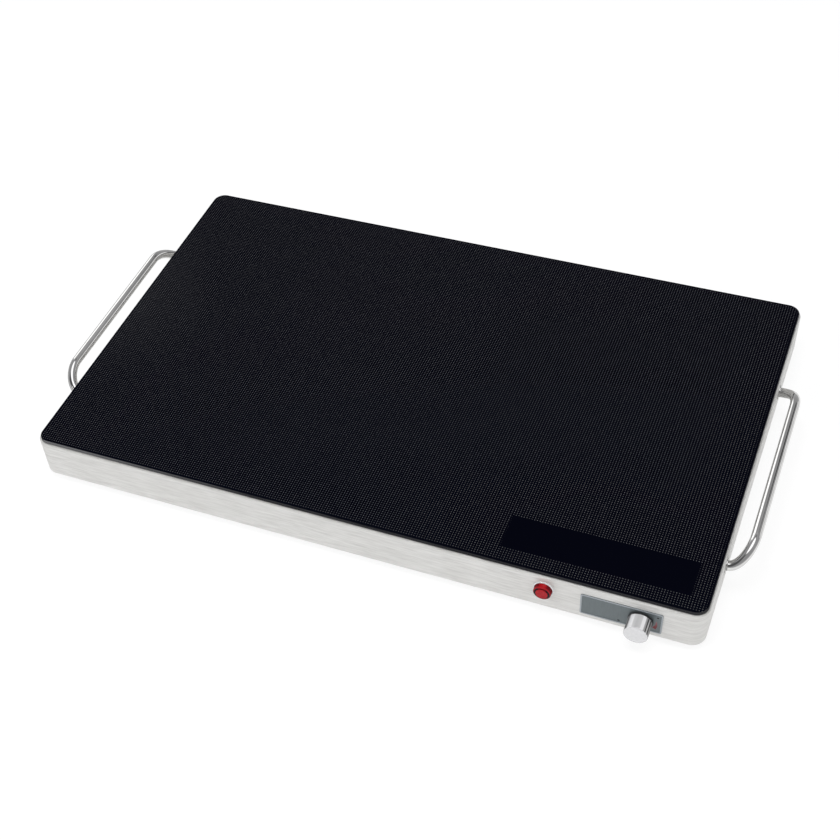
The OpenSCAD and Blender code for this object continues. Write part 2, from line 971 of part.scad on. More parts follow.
module fuse_clip() {
  r = fuse_d / 2 + seat;
  color([0.6, 0.61, 0.62])
    translate([fuse_x, fuse_y, tray_z])
      rotate([90, 0, 0])
        translate([0, 0, -5])
          difference() {
            linear_extrude(height = 10)
              difference() {
                union() {
                  translate([0, -r])
                    circle(r + clip_t);
                  translate([-r - clip_t, -r])
                    square([2 * r + 2 * clip_t, r]);
                  translate([0, -clip_t])
                    square([fuse_arm + 6, clip_t]);
                }
                translate([0, -r])
                  circle(r);
                translate([-r, -r])
                  square([2 * r, r + 1]);
                translate([-big / 2, 0])
                  square([big, big]);
              }
            translate([fuse_arm, 1, 5])
              rotate([90, 0, 0])
                cylinder(d = base_screw_d + 2 * fit, h = clip_t + 2);
          }
}

module terminal_block() {
  color([0.9, 0.88, 0.82])
    translate([block_x, block_y, wall_z])
      difference() {
        union() {
          linear_extrude(height = 3)
            round_rect(block_w, block_dp, 2);
          for (k = [-1, 0, 1])
            translate([k * pole_pitch, 0, 0])
              linear_extrude(height = block_h)
                round_rect(pole_w, block_dp - 2, 1.5);
        }
        for (k = [-1, 0, 1])
          translate([k * pole_pitch, 0, pole_z - wall_z]) {
            rotate([90, 0, 0])
              cylinder(d = insert_d + 2 * slip, h = block_dp + 2, center = true);
            for (y = [-5, 5])
              translate([0, y, 0])
                cylinder(d = 3.6, h = block_h);
          }
        translate([pole_pitch / 2, 0, -1])
          cylinder(d = base_screw_d + 2 * fit, h = 5);
      }
}

module terminal_inserts() {
  color([0.75, 0.62, 0.3])
    for (k = [-1, 0, 1])
      translate([block_x + k * pole_pitch, block_y, pole_z]) {
        difference() {
          rotate([90, 0, 0])
            cylinder(d = insert_d, h = insert_l, center = true);
          rotate([90, 0, 0])
            cylinder(d = lead_d + 2 * seat, h = insert_l + 2, center = true);
        }
        for (y = [-5, 5])
          translate([0, y, insert_d / 2 - 0.6])
            cylinder(d = 3.2, h = 3);
      }
}

module clip_places() {
  for (y = [body_d * 0.1, -body_d * 0.2])
    translate([lead_x, y, 0])
      children();
}

module block_screws() {
  color([0.75, 0.75, 0.76]) {
    translate([block_x + pole_pitch / 2, block_y, base_z])
      pan_screw(base_screw_d, base_t + 3.6, 5.6, 2);
    clip_places()
      translate([0, 0, base_z])
        pan_screw(base_screw_d, base_t + 3, 5.6, 2);
    translate([fuse_x + fuse_arm, fuse_y, tray_z - clip_t])
      pan_screw(base_screw_d, clip_t + tray_t + screw_tip, 5.6, 2);
  }
}

module earth_screw() {
  color([0.75, 0.75, 0.76])
    translate([earth_x, earth_y, base_z])
      pan_screw(foot_screw_d, base_t + 10, 8, 2.6);
}

module earth_nut() {
  color([0.72, 0.6, 0.35])
    translate([earth_x, earth_y, wall_z])
      hex_nut(foot_nut_flat, foot_nut_h, foot_screw_d + 2 * fit);
}

module earth_tag() {
  t = 0.8;
  barrel = 6;
  color([0.75, 0.62, 0.3])
    translate([earth_x, earth_y, tag_z]) {
      difference() {
        union() {
          cylinder(d = 9, h = t);
          translate([-2, -tag_reach, 0])
            cube([4, tag_reach - 3, t]);
        }
        translate([0, 0, -1])
          cylinder(d = foot_screw_d + 2 * slip, h = t + 2);
      }
      translate([0, -tag_reach + 1, lead_d / 2 + 0.6])
        rotate([90, 0, 0])
          ring(lead_d + 1.4, lead_d + 2 * seat, barrel);
    }
}

module cable_gland() {
  r = gland_bore_d / 2;
  s = gland_stem_d / 2;
  h = gland_head_d / 2;
  color([0.1, 0.1, 0.1])
    at_rear(gland_x, gland_z)
      rotate_extrude()
        polygon([[r, -gland_stem], [s - 0.4, -gland_stem], [s, -gland_stem + 0.4], [s, 0], [h, 0],
          [h, gland_head_t - 1.2], [h - 1.2, gland_head_t], [r, gland_head_t]]);
}

module gland_nut() {
  color([0.1, 0.1, 0.1])
    at_rear(gland_x, gland_z)
      translate([0, 0, -sheet_t - gland_nut_h])
        hex_nut(gland_nut_flat, gland_nut_h, gland_stem_d + 2 * fit);
}

// A lead follows its points with each corner rounded
function mix(a, b, t) = a + (b - a) * t;
function bend(a, b, c, t) = mix(mix(a, b, t), mix(b, c, t), t);
function unit(v) = v / norm(v);
function rounded(p, r) = concat([p[0]],
  [for (i = [1:len(p) - 2])
    let (a = p[i] + unit(p[i - 1] - p[i]) * r, c = p[i] + unit(p[i + 1] - p[i]) * r)
    for (k = [0:3]) bend(a, p[i], c, k / 3)],
  [p[len(p) - 1]]);
function heading(q, i) = unit(q[min(i + 1, len(q) - 1)] - q[max(i - 1, 0)]);

module tube(q, d, sides = 8) {
  n = len(q);
  lean = [0.13, 0.21, 0.97];
  pts = [for (i = [0:n - 1])
    let (t = heading(q, i), u = unit(cross(abs(t[2]) > 0.9 ? [1, 0.2, 0] : lean, t)), v = cross(t, u))
    for (j = [0:sides - 1]) q[i] + d / 2 * (cos(360 * j / sides) * u + sin(360 * j / sides) * v)];
  skin = [for (i = [0:n - 2], j = [0:sides - 1])
    let (a = i * sides + j, b = i * sides + (j + 1) % sides, c = b + sides, e = a + sides)
    each [[a, e, c], [a, c, b]]];
  polyhedron(points = pts, convexity = 6,
    faces = concat([[for (j = [0:sides - 1]) j]], skin,
      [[for (j = [sides - 1:-1:0]) (n - 1) * sides + j]]));
}

module splice_sleeves() {
  color([0.85, 0.84, 0.8])
    tail_places()
      translate([0, 0, sleeve_z])
        difference() {
          cylinder(d = sleeve_d, h = sleeve_l);
          translate([0, 0, -1])
            cylinder(d = 2 * lead_d + 0.5, h = 1 + sleeve_l / 2);
          cylinder(d = cord_d + 2 * slip, h = sleeve_l + 1);
        }
}

// The two leads that end in a splice sleeve rise side by side
function rise(x, y) = [[x, y, lead_z], [x, y, joint_z - 1]];

module leads() {
  right = tail_x + pair;
  left = tail_x - pair;
  color([0.75, 0.12, 0.1]) {
    tube(rounded([[block_x, pole_y, pole_z], [block_x, block_y - 28, pole_z],
      [lead_x + lane, block_y - 80, lead_z], [lead_x + lane, thermo_back + 40, lead_z],
      [knob_x - blade_x, thermo_back + 18, knob_z], [knob_x - blade_x, thermo_back, knob_z]], 4), lead_d);
    tube(rounded([[knob_x + blade_x, thermo_back, knob_z], [knob_x + blade_x, thermo_back + 15, knob_z],
      [knob_x - 20, thermo_back + 32, fuse_z - 3], [fuse_x, fuse_y - 42, fuse_z],
      [fuse_x, fuse_y - fuse_l / 2 - seat, fuse_z]], 4), lead_d);
    tube(rounded(concat([[fuse_x, fuse_y + fuse_l / 2 + seat, fuse_z], [fuse_x, fuse_y + 32, fuse_z],
      [fuse_x + 60, fuse_y + 14, fuse_z - 8], [left, tail_y[1] + 20, lead_z]], rise(left, tail_y[1])), 4),
      lead_d);
    tube(rounded(concat([[pilot_x + 2.5, pilot_back, pilot_z], [pilot_x + 2.5, pilot_back + 12, pilot_z],
      [pilot_x + 34, pilot_back + 30, lead_z], [right, tail_y[1] - 18, lead_z]], rise(right, tail_y[1])), 4),
      lead_d);
    tube(rounded(concat([[pilot_x - 2.5, pilot_back, pilot_z], [pilot_x - 2.5, pilot_back + 16, pilot_z],
      [pilot_x + 20, pilot_back + 44, lead_z], [lead_x - lane, pilot_back + 60, lead_z],
      [lead_x - lane, block_y - 62, lead_z], [right, block_y - 40, lead_z]], rise(right, tail_y[0])), 4),
      lead_d);
    tube(rounded(concat([[block_x + pole_pitch, pole_y, pole_z], [block_x + pole_pitch, block_y - 24, pole_z],
      [left - 6, block_y - 16, lead_z + 2]], rise(left, tail_y[0])), 4), lead_d);
    tube(rounded([[block_x - pole_pitch, pole_y, pole_z], [block_x - pole_pitch, block_y - 20, pole_z],
      [earth_x, block_y - 26, tag_z + lead_d / 2 + 0.6],
      [earth_x, earth_y - tag_reach - 3, tag_z + lead_d / 2 + 0.6]], 4), lead_d);
  }
}

module lead_clips() {
  w = 2 * (2 * lead_d + 0.5) + 2;
  color([0.85, 0.85, 0.83])
    clip_places()
      translate([0, 0, wall_z])
        difference() {
          translate([-w / 2 - 1, -3, 0])
            cube([w + 2, 6, lead_z - wall_z + lead_d / 2 + 1.6]);
          for (k = [-1, 1])
            translate([k * lane, 0, lead_z - wall_z])
              rotate([90, 0, 0])
                cylinder(d = lead_d + 2 * seat, h = 8, center = true);
          translate([0, 0, -1])
            cylinder(d = base_screw_d + 2 * fit, h = 5);
        }
}

// Puts the middle of the whole outline over the origin
module in_frame() {
  translate([0, (knob_back + knob_len - gland_head_t) / 2, 0])
    children();
}

in_frame() glass_top();
in_frame() glass_seal();
in_frame() housing();
in_frame() base_plate();
in_frame() base_screws();
in_frame() feet();
in_frame() foot_screws();
in_frame() foot_nuts();
in_frame() handle_left();
in_frame() handle_right();
in_frame() handle_washers();
in_frame() handle_inner_washers();
in_frame() handle_nuts();
in_frame() control_plate();
in_frame() knob();
in_frame() thermostat_shaft();
in_frame() thermostat_body();
in_frame() thermostat_nut();
in_frame() pilot_bezel();
in_frame() pilot_lens();
in_frame() pilot_body();
in_frame() pilot_nut();
in_frame() spread_plate();
in_frame() heating_cord();
in_frame() heater_foil();
in_frame() insulation();
in_frame() cord_grommets();
in_frame() tray();
in_frame() tray_brackets();
in_frame() tray_screws();
in_frame() thermal_fuse();
in_frame() fuse_clip();
in_frame() terminal_block();
in_frame() terminal_inserts();
in_frame() block_screws();
in_frame() earth_screw();
in_frame() earth_nut();
in_frame() earth_tag();
in_frame() cable_gland();
in_frame() gland_nut();
in_frame() splice_sleeves();
in_frame() leads();
in_frame() lead_clips();
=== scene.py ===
import json
import math

import bmesh
import bpy
from mathutils import Matrix, Vector


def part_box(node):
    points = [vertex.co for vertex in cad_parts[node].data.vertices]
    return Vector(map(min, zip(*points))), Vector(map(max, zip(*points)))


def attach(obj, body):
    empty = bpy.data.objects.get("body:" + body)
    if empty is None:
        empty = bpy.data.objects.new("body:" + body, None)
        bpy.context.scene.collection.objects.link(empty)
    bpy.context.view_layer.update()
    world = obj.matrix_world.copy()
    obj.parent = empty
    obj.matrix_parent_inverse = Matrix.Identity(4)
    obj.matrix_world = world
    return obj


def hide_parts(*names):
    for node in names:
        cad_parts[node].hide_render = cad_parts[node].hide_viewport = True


# Looks of an electric warming tray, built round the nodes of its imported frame. Lengths are in
# metres, the front wall faces -y, and the glass faces +z.

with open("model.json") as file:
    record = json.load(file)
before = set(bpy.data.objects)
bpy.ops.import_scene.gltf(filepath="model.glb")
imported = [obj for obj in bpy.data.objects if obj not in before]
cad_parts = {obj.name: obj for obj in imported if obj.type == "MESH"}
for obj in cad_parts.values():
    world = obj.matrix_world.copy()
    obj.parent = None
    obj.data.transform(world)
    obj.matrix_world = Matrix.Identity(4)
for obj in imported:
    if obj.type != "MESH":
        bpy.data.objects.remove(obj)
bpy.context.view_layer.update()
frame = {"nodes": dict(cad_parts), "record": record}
nodes = frame["nodes"]
BODY = "tray_body"
DIAL = "dial"
MM = 0.001

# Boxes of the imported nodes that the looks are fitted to
glass_lo, glass_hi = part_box("glass_top")
plate_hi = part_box("control_plate")[1]
bezel_lo, bezel_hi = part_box("pilot_bezel")
lens_lo, lens_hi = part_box("pilot_lens")
knob_lo, knob_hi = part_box("knob")

# Axes of the knob and the pilot light, and the plane of the control plate inside its border
KNOB_X, KNOB_Z = (knob_lo.x + knob_hi.x) / 2, (knob_lo.z + knob_hi.z) / 2
PILOT_X, PILOT_Z = (bezel_lo.x + bezel_hi.x) / 2, (bezel_lo.z + bezel_hi.z) / 2
FIELD_Y = plate_hi.y - 0.35 * MM

# Dot print on the glass: its spacing, the radius of a dot, the softness of its rim as a share of
# the radius, the width of the bare rim, and the span of the bare field
DOT_PITCH = 2.24 * MM
DOT_R = 0.39 * MM
DOT_SOFT = 0.15
PRINT_EDGE = 2.2 * MM
BARE_X = (0.128, 0.283)
BARE_Y = (glass_lo.y + 0.015, glass_lo.y + 0.05)

# Painted reflections round the knob, as bands: turn in degrees and grey level at the middle of each
KNOB_REFLECTION_BANDS = [
    (-180, 0.35), (-20, 0.30), (8, 0.33), (22, 0.30), (28, 0.03), (32, 0.05), (36, 0.60),
    (40, 0.60), (43, 0.04), (47, 0.05), (50, 0.36), (56, 0.42), (60, 0.95), (72, 0.95),
    (77, 0.62), (96, 0.56), (112, 0.66), (117, 0.95), (134, 0.95), (140, 0.45), (146, 0.06),
    (152, 0.30), (180, 0.35)]

# Pilot lens, in millimetres: radius of the raised face, how much lower the groove and the barrel
# begin, and the radii over which each zone takes over from the one inside it
LENS_FACE = 5.1
GROOVE_DEPTH = 1.2
BARREL_DEPTH = 1.7
GROOVE_SPAN = (4.95, 5.15)
LEDGE_SPAN = (5.75, 5.9)
EDGE_SPAN = (6.5, 6.65)

# Scale round the knob, in millimetres and degrees: name, place and radius of its dots, and the
# middle radius, the turns and the half widths at both ends of its wedge
SCALE_DOTS = [("mark_off", 13.3, 7.9, 0.8), ("mark_end", -17.1, -7.9, 0.85)]
WEDGE_R = 12.6
WEDGE_TURNS = (13.0, -29.0)
WEDGE_HALF = (0.3, 1.65)

# Handle bars: radius of bar and stud, the small step by which their ends lap or stand back, length
# of the bend along the grip, and how far it goes on straight from the leg and into the grip
BAR_R = 4.25 * MM
STUD_R = 2.4 * MM
LAP = 0.05 * MM
BEND = 27 * MM
LEG_PULL = 9.5 * MM
GRIP_PULL = 16 * MM
BEND_STEPS = 32

# How far new pieces stay inside the box of the node that they replace
ROUND_INSET = 0.02 * MM
BAR_INSET = 0.03 * MM

# Sky that gloss sees: sine of the elevation and grey level
SKY = [(0.0, 0.45), (0.10, 0.45), (0.22, 0.40), (0.36, 0.34), (0.50, 0.32), (0.74, 0.32),
       (0.80, 0.46), (0.86, 0.25), (0.915, 0.2), (0.945, 1.5), (1.0, 1.5)]
# Patches painted on it in this order: turn in degrees, softness of its ends in radians, span of
# the elevation's sine, softness of its ends, and colour
SKY_PATCHES = [
    ((-150, -95), 0.25, (0.34, 0.86), 0.06, (0.09, 0.09, 0.092)),   # dark front
    ((127, 147), 0.07, (0.10, 0.63), 0.035, (1.5, 1.5, 1.5)),       # soft box at the left rear
    ((34, 56), 0.12, (0.14, 0.31), 0.06, (1.0, 1.0, 1.0)),          # soft box at the right rear
    ((-134, -116), 0.05, (0.49, 0.57), 0.025, (2.0, 2.0, 2.0)),     # small box at the left front
    ((61, 75), 0.03, (0.585, 0.69), 0.02, (0.01, 0.01, 0.01)),      # black flag at the rear
]

# Floor: its radius, and how bright metal sees it, as a distance and a glow near the object and
# far away. Then its albedo for light, for gloss and for the camera, and the glow for the camera
FLOOR_R = 6.0
FLOOR_NEAR, FLOOR_FAR = (0.6, 0.62), (1.8, 0.25)
FLOOR_ALBEDO, GLOSS_ALBEDO, SEEN_ALBEDO = 0.8, 0.36, 0.2
SEEN_GLOW = 0.84
# Where the floor is darker for metal, beside the left handle: x and y at which that begins and is
# full, and its share. Then the share from the second bounce on
BESIDE_X, BESIDE_Y, BESIDE_SHARE = (-0.325, -0.345), (-0.19, -0.15), 0.85
AGAIN_SHARE = 0.75

# Lamps, which all point at the middle of the floor: place, size and power
LAMPS = {
    "key": ((-1.6, -1.5, 1.7), (1.6, 1.2), 24),
    "fill": ((1.9, -0.9, 1.2), (1.2, 1.2), 10),
    "top": ((0.1, -0.5, 2.4), (1.0, 0.8), 14),
}

# Camera: its place, its three axes, its lens and its shift
CAMERA_PLACE = (0.357386, -0.853534, 0.931721)
CAMERA_AXES = ((0.92313132, 0.37751314, -0.07288615), (-0.24070628, 0.71526845, 0.65608805),
               (0.29981502, -0.58811127, 0.7511565))
CAMERA_LENS, CAMERA_SENSOR = 60.7576, 36
CAMERA_SHIFT = (0.0725187, 0.1029406)


# ---------------------------------------------------------------- node helpers

class Graph:
    """The node tree of a material or world, with short calls for the nodes used here."""

    def __init__(self, owner, kind="Object"):
        owner.use_nodes = True
        self.owner = owner
        self.tree = owner.node_tree
        self.bsdf = self.tree.nodes.get("Principled BSDF")
        self.coord = self.tree.nodes.new("ShaderNodeTexCoord").outputs[kind]

    def put(self, socket, value):
        if isinstance(value, bpy.types.NodeSocket):
            self.tree.links.new(value, socket)
        elif isinstance(value, (tuple, list)) and len(value) == 3 and socket.type == "RGBA":
            socket.default_value = (*value, 1.0)
        else:
            socket.default_value = value

    def shader(self, **values):
        """Sets the sockets of the main shader, and gives its material."""
        for name, value in values.items():
            self.put(self.bsdf.inputs[name.replace("_", " ")], value)
        return self.owner

    def math(self, op, a, b=0.0):
        n = self.tree.nodes.new("ShaderNodeMath")
        n.operation = op
        self.put(n.inputs[0], a)
        self.put(n.inputs[1], b)
        return n.outputs[0]

    def times(self, first, *others):
        for other in others:
            first = self.math("MULTIPLY", first, other)
        return first

    def blend(self, a, b, share):
        """Both values together, with the given share of the second."""
        return self.math("ADD", self.times(a, 1 - share), self.times(b, share))

    def dim(self, value, where, share):
        """The value, lowered by the given share where the mask is one."""
        return self.times(value, self.math("SUBTRACT", 1.0, self.times(where, share)))

    def length(self, a, b):
        return self.math("SQRT", self.math("ADD", self.times(a, a), self.times(b, b)))

    def split(self):
        n = self.tree.nodes.new("ShaderNodeSeparateXYZ")
        self.put(n.inputs[0], self.coord)
        return n.outputs

    def noise(self, scale, detail=3.0, rough=0.55):
        """Noise with its own scale along each axis, in cells per metre."""
        place = self.tree.nodes.new("ShaderNodeMapping")
        self.put(place.inputs["Vector"], self.coord)
        place.inputs["Scale"].default_value = scale
        n = self.tree.nodes.new("ShaderNodeTexNoise")
        self.put(n.inputs["Vector"], place.outputs[0])
        n.inputs["Scale"].default_value = 1.0
        n.inputs["Detail"].default_value = detail
        n.inputs["Roughness"].default_value = rough
        return n.outputs["Fac"]

    def range(self, value, lo, hi, to_lo=0, to_hi=1):
        """The value with its span from lo to hi stretched to the second span, and held there."""
        n = self.tree.nodes.new("ShaderNodeMapRange")
        self.put(n.inputs["Value"], value)
        for key, v in (("From Min", lo), ("From Max", hi), ("To Min", to_lo), ("To Max", to_hi)):
            n.inputs[key].default_value = v
        return n.outputs["Result"]

    def between(self, value, lo, hi):
        """One between lo and hi, and zero outside."""
        return self.times(self.math("GREATER_THAN", value, lo), self.math("LESS_THAN", value, hi))

    def window(self, value, lo, hi, soft):
        """One between lo and hi, falling to zero over soft on both sides."""
        return self.times(self.range(value, lo - soft, lo), self.range(value, hi, hi + soft, 1, 0))

    def mix(self, factor, a, b):
        n = self.tree.nodes.new("ShaderNodeMix")
        n.data_type = "RGBA"
        self.put(n.inputs[0], factor)
        self.put(n.inputs[6], a)
        self.put(n.inputs[7], b)
        return n.outputs[2]

    def ramp(self, value, stops, blue):
        """Grey levels at places from 0 to 1, with the blue of each scaled a little."""
        n = self.tree.nodes.new("ShaderNodeValToRGB")
        elements = n.color_ramp.elements
        for k, (at, level) in enumerate(stops):
            stop = elements[k] if k < 2 else elements.new(at)
            stop.position = at
            stop.color = (level, level, level * blue, 1)
        self.put(n.inputs[0], value)
        return n.outputs[0]

    def bump(self, height, strength, distance):
        n = self.tree.nodes.new("ShaderNodeBump")
        n.inputs["Strength"].default_value = strength
        n.inputs["Distance"].default_value = distance
        self.put(n.inputs["Height"], height)
        return n.outputs[0]


def material(name):
    return Graph(bpy.data.materials.new(name))


# ------------------------------------------------------------------- materials

def brushed_steel():
    """Pale satin steel, brushed along the walls."""
    g = material("brushed_steel")
    dark, light, haze = (0.665, 0.659, 0.637), (0.885, 0.88, 0.86), (0.765, 0.759, 0.737)
    fine = g.noise((45, 45, 1500), 3, 0.6)
    streak = g.noise((38, 38, 420), 3, 0.7)
    cloud = g.noise((9, 9, 40), 2)
    tone = g.blend(fine, streak, 0.6)
    color = g.mix(g.range(tone, 0.36, 0.64), dark, light)
    color = g.mix(g.range(cloud, 0.4, 0.7, 0, 0.4), color, haze)
    return g.shader(Base_Color=color, Metallic=0.5, Roughness=g.range(tone, 0.3, 0.7, 0.6, 0.48),
                    Normal=g.bump(tone, 0.1, 0.05 * MM))


def dot_print(g, x, y):
    """One inside each dot of the print, and zero between them, on the rim and in the bare field."""
    cells = []
    for axis, start in ((x, glass_lo.x), (y, glass_lo.y)):
        turn = g.math("DIVIDE", g.math("SUBTRACT", axis, start + PRINT_EDGE), DOT_PITCH)
        cells.append(g.math("SUBTRACT", g.math("FRACT", turn), 0.5))
    reach = DOT_R / DOT_PITCH
    dot = g.range(g.length(*cells), reach * (1 + DOT_SOFT), reach * (1 - DOT_SOFT))
    inside = g.times(g.between(x, glass_lo.x + PRINT_EDGE, glass_hi.x - PRINT_EDGE),
                     g.between(y, glass_lo.y + PRINT_EDGE, glass_hi.y - PRINT_EDGE))
    bare = g.times(g.between(x, *BARE_X), g.between(y, *BARE_Y))
    return g.times(dot, inside, g.math("SUBTRACT", 1.0, bare))


def black_glass():
    """Black ceramic glass with a fine print of grey dots and ground edges, and a painted highlight
    that makes the front edge paler towards the left.
    """
    g = material("black_glass")
    glass = (0.0003, 0.0006, 0.0036)
    ink_dark, ink_light = (0.058, 0.058, 0.063), (0.132, 0.132, 0.14)
    edge_dark, edge_light = (0.012, 0.012, 0.014), (0.046, 0.046, 0.05)
    edge_painted_highlight = (0.15, 0.15, 0.155)
    x, y, z = g.split()
    uneven = g.noise((500, 500, 500), 2)
    ink = g.mix(g.range(uneven, 0.35, 0.65), ink_dark, ink_light)
    top = g.mix(dot_print(g, x, y), glass, ink)
    lines = g.noise((25, 25, 2600))
    edge = g.mix(g.range(lines, 0.35, 0.68), edge_dark, edge_light)
    # Painted highlight: the front edge is paler towards the left
    front = g.range(y, glass_lo.y + 1.2 * MM, glass_lo.y + 0.9 * MM)
    left = g.range(x, glass_lo.x + 0.01, glass_lo.x + 0.22, 1, 0)
    edge = g.mix(g.times(front, left), edge, edge_painted_highlight)
    # The ground edge begins just below the top, and is less glossy
    below = g.range(z, glass_hi.z - 0.05 * MM, glass_hi.z - 0.12 * MM)
    smear = g.range(g.noise((14, 11, 30)), 0.4, 0.7, 0.035, 0.07)
    return g.shader(Base_Color=g.mix(below, top, edge),
                    Roughness=g.math("ADD", smear, g.times(below, 0.22)),
                    IOR=1.5, Specular_IOR_Level=0.03, Normal=g.bump(lines, 0.04, 0.03 * MM))


def polished_steel():
    """Polished bar with faint lengthwise lines and slight handling wear."""
    g = material("polished_steel")
    dark, light = (0.70, 0.695, 0.685), (0.79, 0.785, 0.775)
    lines = g.noise((1800, 40, 1800))
    cloud = g.noise((60, 60, 60))
    return g.shader(Base_Color=g.mix(g.range(cloud, 0.35, 0.7), dark, light), Metallic=1.0,
                    Roughness=g.range(lines, 0.3, 0.7, 0.04, 0.08),
                    Normal=g.bump(lines, 0.05, 0.03 * MM))


def plain(name, dark, light, metallic, rough, cells, bump=0.05, depth=0.04 * MM):
    """A finish whose tone and gloss vary over small, even cells."""
    g = material(name)
    grain = g.noise((cells,) * 3, 4)
    broad = g.noise((cells / 14,) * 3, 2)
    tone = g.range(g.blend(grain, broad, 0.4), 0.35, 0.65)
    return g.shader(Base_Color=g.mix(tone, dark, light), Metallic=metallic,
                    Roughness=g.range(grain, 0.3, 0.7, *rough), Normal=g.bump(grain, bump, depth))


def control_grey():
    """Grey panel with a paler raised border and a soft vertical brush."""
    g = material("control_grey")
    dark, light, border = (0.138, 0.163, 0.172), (0.155, 0.182, 0.191), (0.39, 0.42, 0.45)
    y = g.split()[1]
    grain = g.noise((900, 900, 120))
    field = g.mix(g.range(grain, 0.35, 0.65), dark, light)
    raised = g.range(y, FIELD_Y - 0.07 * MM, FIELD_Y - 0.17 * MM)
    return g.shader(Base_Color=g.mix(raised, field, border), Metallic=0.35,
                    Roughness=g.range(grain, 0.3, 0.7, 0.3, 0.4),
                    Normal=g.bump(grain, 0.05, 0.03 * MM))


def lens_red():
    """Clear red plastic: a pebbled face in a groove, a ledge, an edge and a barrel behind it, with
    painted shade in the groove and at the left and right, and a painted highlight along the top of
    the edge.
    """
    g = material("lens_red")
    x, y, z = g.split()
    across = g.math("SUBTRACT", x, PILOT_X)
    up = g.math("SUBTRACT", z, PILOT_Z)
    away = g.length(across, up)
    pebble = g.noise((1300, 1300, 1300), 1)
    broad = g.noise((300, 300, 300), 2)
    # Painted shade: the groove is darker than the face, and groove, ledge and barrel are darker at
    # the left and right
    side = g.times(g.range(g.math("ABSOLUTE", across), 2.4 * MM, 3.6 * MM),
                   g.range(up, -4.6 * MM, -3.2 * MM))
    face = g.mix(g.range(broad, 0.35, 0.7), (0.40, 0.008, 0.014), (0.54, 0.018, 0.026))
    groove = g.mix(side, (0.16, 0.003, 0.006), (0.004, 0.004, 0.006))
    ledge = g.mix(side, (0.34, 0.006, 0.012), (0.008, 0.007, 0.01))
    # Painted highlight: the edge is paler towards the top
    edge = g.mix(g.range(up, -0.5 * MM, 2.5 * MM), (0.24, 0.005, 0.010), (0.37, 0.012, 0.018))
    barrel = g.mix(side, (0.36, 0.004, 0.008), (0.14, 0.004, 0.008))
    color = face
    for zone, (start, full) in ((groove, GROOVE_SPAN), (ledge, LEDGE_SPAN), (edge, EDGE_SPAN)):
        color = g.mix(g.range(away, start * MM, full * MM), color, zone)
    start = lens_lo.y + BARREL_DEPTH * MM
    behind = g.range(y, start, start + 0.2 * MM)
    return g.shader(Base_Color=g.mix(behind, color, barrel),
                    Roughness=g.range(pebble, 0.3, 0.7, 0.12, 0.26),
                    IOR=1.49, Specular_IOR_Level=0.15, Normal=g.bump(pebble, 0.2, 0.1 * MM))


def wedge_red():
    """Red print that deepens as the scale runs down."""
    g = material("wedge_red")
    faint, deep = (0.30, 0.12, 0.14), (0.19, 0.004, 0.010)
    fade = g.range(g.split()[2], KNOB_Z + 2.4 * MM, KNOB_Z - 4.5 * MM)
    grain = g.noise((2500, 2500, 2500), 2)
    return g.shader(Base_Color=g.mix(fade, faint, deep),
                    Roughness=g.range(grain, 0.3, 0.7, 0.35, 0.5))


def knob_chrome():
    """Bright knob with painted reflections: lengthwise light and dark bands round its side, set by
    the turn about its axis.
    """
    g = material("knob_chrome")
    dark, light = (0.74, 0.74, 0.75), (0.81, 0.81, 0.82)
    x, y, z = g.split()
    turn = g.math("ARCTAN2", g.math("SUBTRACT", z, KNOB_Z), g.math("SUBTRACT", x, KNOB_X))
    # Painted reflections: the grey level of the side follows its turn about the axis
    stops = [(at / 360 + 0.5, level) for at, level in KNOB_REFLECTION_BANDS]
    flats = g.ramp(g.range(turn, -math.pi, math.pi), stops, 1.01)
    grain = g.noise((500, 500, 500), 4)
    face = g.mix(g.range(grain, 0.35, 0.65), dark, light)
    front = g.range(y, knob_lo.y + 0.35 * MM, knob_lo.y + 0.15 * MM)
    return g.shader(Base_Color=g.mix(front, flats, face), Metallic=g.range(front, 0, 1, 0.2, 0.62),
                    Roughness=g.range(grain, 0.3, 0.7, 0.16, 0.24),
                    Normal=g.bump(grain, 0.02, 0.04 * MM))


# Even finishes: dark and light tone, metallic, span of roughness, cells per metre, and where it
# isn't slight, the bump and its depth
PLAIN = {
    "zinc_steel": ((0.42, 0.43, 0.44), (0.56, 0.57, 0.58), 1.0, (0.3, 0.45), 260),
    "bezel_chrome": ((0.82, 0.83, 0.84), (0.9, 0.91, 0.92), 0.35, (0.1, 0.16), 500, 0.02),
    "black_rubber": ((0.012, 0.012, 0.012), (0.03, 0.03, 0.03), 0.0, (0.6, 0.8), 900, 0.3),
    "seal_black": ((0.01, 0.01, 0.01), (0.02, 0.02, 0.02), 0.0, (0.5, 0.7), 900, 0.2),
    "black_plastic": ((0.012, 0.012, 0.013), (0.028, 0.028, 0.03), 0.0, (0.35, 0.5), 1200, 0.2),
    "pale_plastic": ((0.66, 0.63, 0.55), (0.76, 0.73, 0.66), 0.0, (0.4, 0.55), 700, 0.1),
    "brass": ((0.62, 0.44, 0.16), (0.75, 0.56, 0.24), 1.0, (0.2, 0.35), 500),
    "alu_sheet": ((0.68, 0.69, 0.7), (0.78, 0.79, 0.8), 1.0, (0.3, 0.45), 300),
    "cord_silicone": ((0.5, 0.12, 0.03), (0.66, 0.2, 0.06), 0.0, (0.4, 0.6), 900, 0.15),
    "insulation_wool": ((0.66, 0.64, 0.55), (0.84, 0.82, 0.74), 0.0, (0.8, 0.95), 700, 0.8,
                        0.4 * MM),
    "lead_red": ((0.42, 0.03, 0.02), (0.55, 0.06, 0.04), 0.0, (0.3, 0.45), 900),
    "mark_ink": ((0.004, 0.004, 0.005), (0.012, 0.012, 0.014), 0.0, (0.5, 0.7), 900),
}

